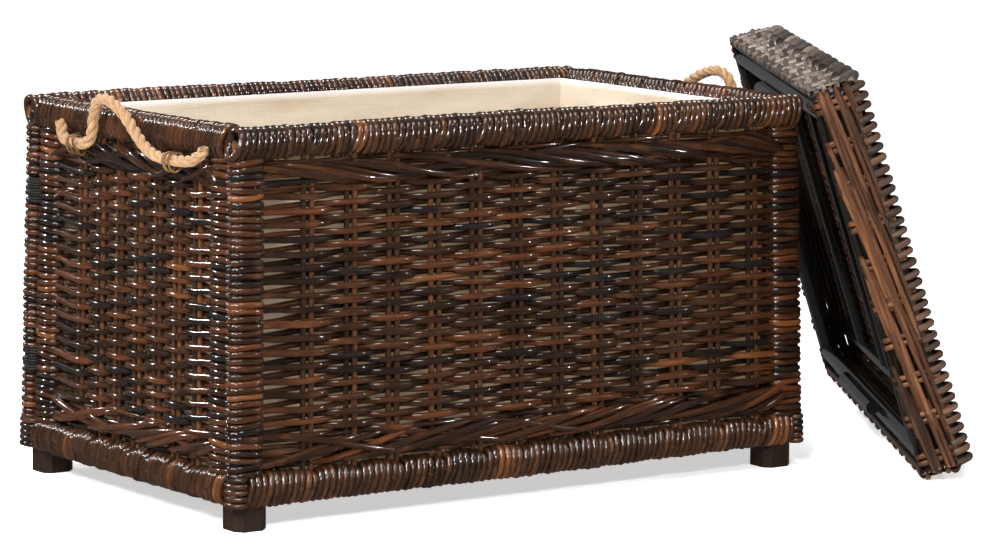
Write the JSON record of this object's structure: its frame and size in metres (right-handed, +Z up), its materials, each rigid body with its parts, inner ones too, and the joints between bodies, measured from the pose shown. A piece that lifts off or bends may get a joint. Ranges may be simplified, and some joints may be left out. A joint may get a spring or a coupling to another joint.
{
  "type": "storage trunk",
  "caption": "Rectangular woven rattan storage trunk with a cotton liner, rope handles, short wooden feet and a lift-off woven lid leaning on one corner.",
  "frame": {"origin": "on the floor, in the middle of the footprint that the trunk and its leaning lid cover together", "axes": "+Z up; -Y is the front of the trunk; +X is towards the trunk's right end, where the lid leans"},
  "size_m": [1.4374, 0.8484, 0.5141],
  "materials": {
    "rattan": "dark brown lacquered woven rattan",
    "lacquered_pole": "black lacquered pole",
    "foot_wood": "stained wood",
    "runner_wood": "plain wood",
    "liner_cotton": "plain woven cotton",
    "black_cord": "waxed cord",
    "split_reed": "split reed binding",
    "jute_rope": "three-strand jute rope"
  },
  "bodies": {
    "trunk": {"back_base_runner": "runner_wood", "back_bottom_rim": "rattan", "back_left_foot": "foot_wood", "back_left_post": "rattan", "back_right_foot": "foot_wood", "back_right_post": "rattan", "back_top_rim": "rattan", "back_weave": "rattan", "front_base_runner": "runner_wood", "front_bottom_rim": "rattan", "front_left_foot": "foot_wood", "front_left_post": "rattan", "front_right_foot": "foot_wood", "front_right_post": "rattan", "front_top_rim": "rattan", "front_weave": "rattan", "left_bottom_rim": "rattan", "left_front_post": "rattan", "left_handle_front_end": "jute_rope", "left_handle_lashings": "split_reed", "left_handle_rear_end": "jute_rope", "left_rear_post": "rattan", "left_top_rim": "rattan", "left_weave": "rattan", "liner": "liner_cotton", "rear_left_corner_lashings": "black_cord", "rear_right_corner_lashings": "black_cord", "right_bottom_rim": "rattan", "right_front_post": "rattan", "right_handle_front_end": "jute_rope", "right_handle_lashings": "split_reed", "right_handle_rear_end": "jute_rope", "right_rear_post": "rattan", "right_top_rim": "rattan", "right_weave": "rattan", "woven_base": "rattan"},
    "left_handle": {"left_handle_loop": "jute_rope"},
    "right_handle": {"right_handle_loop": "jute_rope"},
    "lid": {"lid_cross_pole_1": "lacquered_pole", "lid_cross_pole_2": "lacquered_pole", "lid_cross_pole_3": "lacquered_pole", "lid_far_border": "rattan", "lid_far_pole": "lacquered_pole", "lid_far_side": "rattan", "lid_lower_border": "rattan", "lid_lower_cleat": "lacquered_pole", "lid_lower_inner_pole": "lacquered_pole", "lid_lower_pole": "lacquered_pole", "lid_lower_side": "rattan", "lid_near_border": "rattan", "lid_near_pole": "lacquered_pole", "lid_near_side": "rattan", "lid_top_weave": "rattan", "lid_upper_border": "rattan", "lid_upper_cleat": "lacquered_pole", "lid_upper_inner_pole": "lacquered_pole", "lid_upper_pole": "lacquered_pole", "lid_upper_side": "rattan"}
  },
  "joints": [
    {"name": "lid_lift", "type": "slide", "parent": "trunk", "child": "lid", "axis": [-0.2527, 0.1536, 0.9553], "range_m": [0, 0.55]},
    {"name": "left_handle_swing", "type": "hinge", "parent": "trunk", "child": "left_handle", "pos_m": [-0.708, 0.039, 0.434], "axis": [0, -1, 0], "range_deg": [0, 170]},
    {"name": "right_handle_swing", "type": "hinge", "parent": "trunk", "child": "right_handle", "pos_m": [0.172, 0.039, 0.434], "axis": [0, 1, 0], "range_deg": [0, 170]}
  ]
}
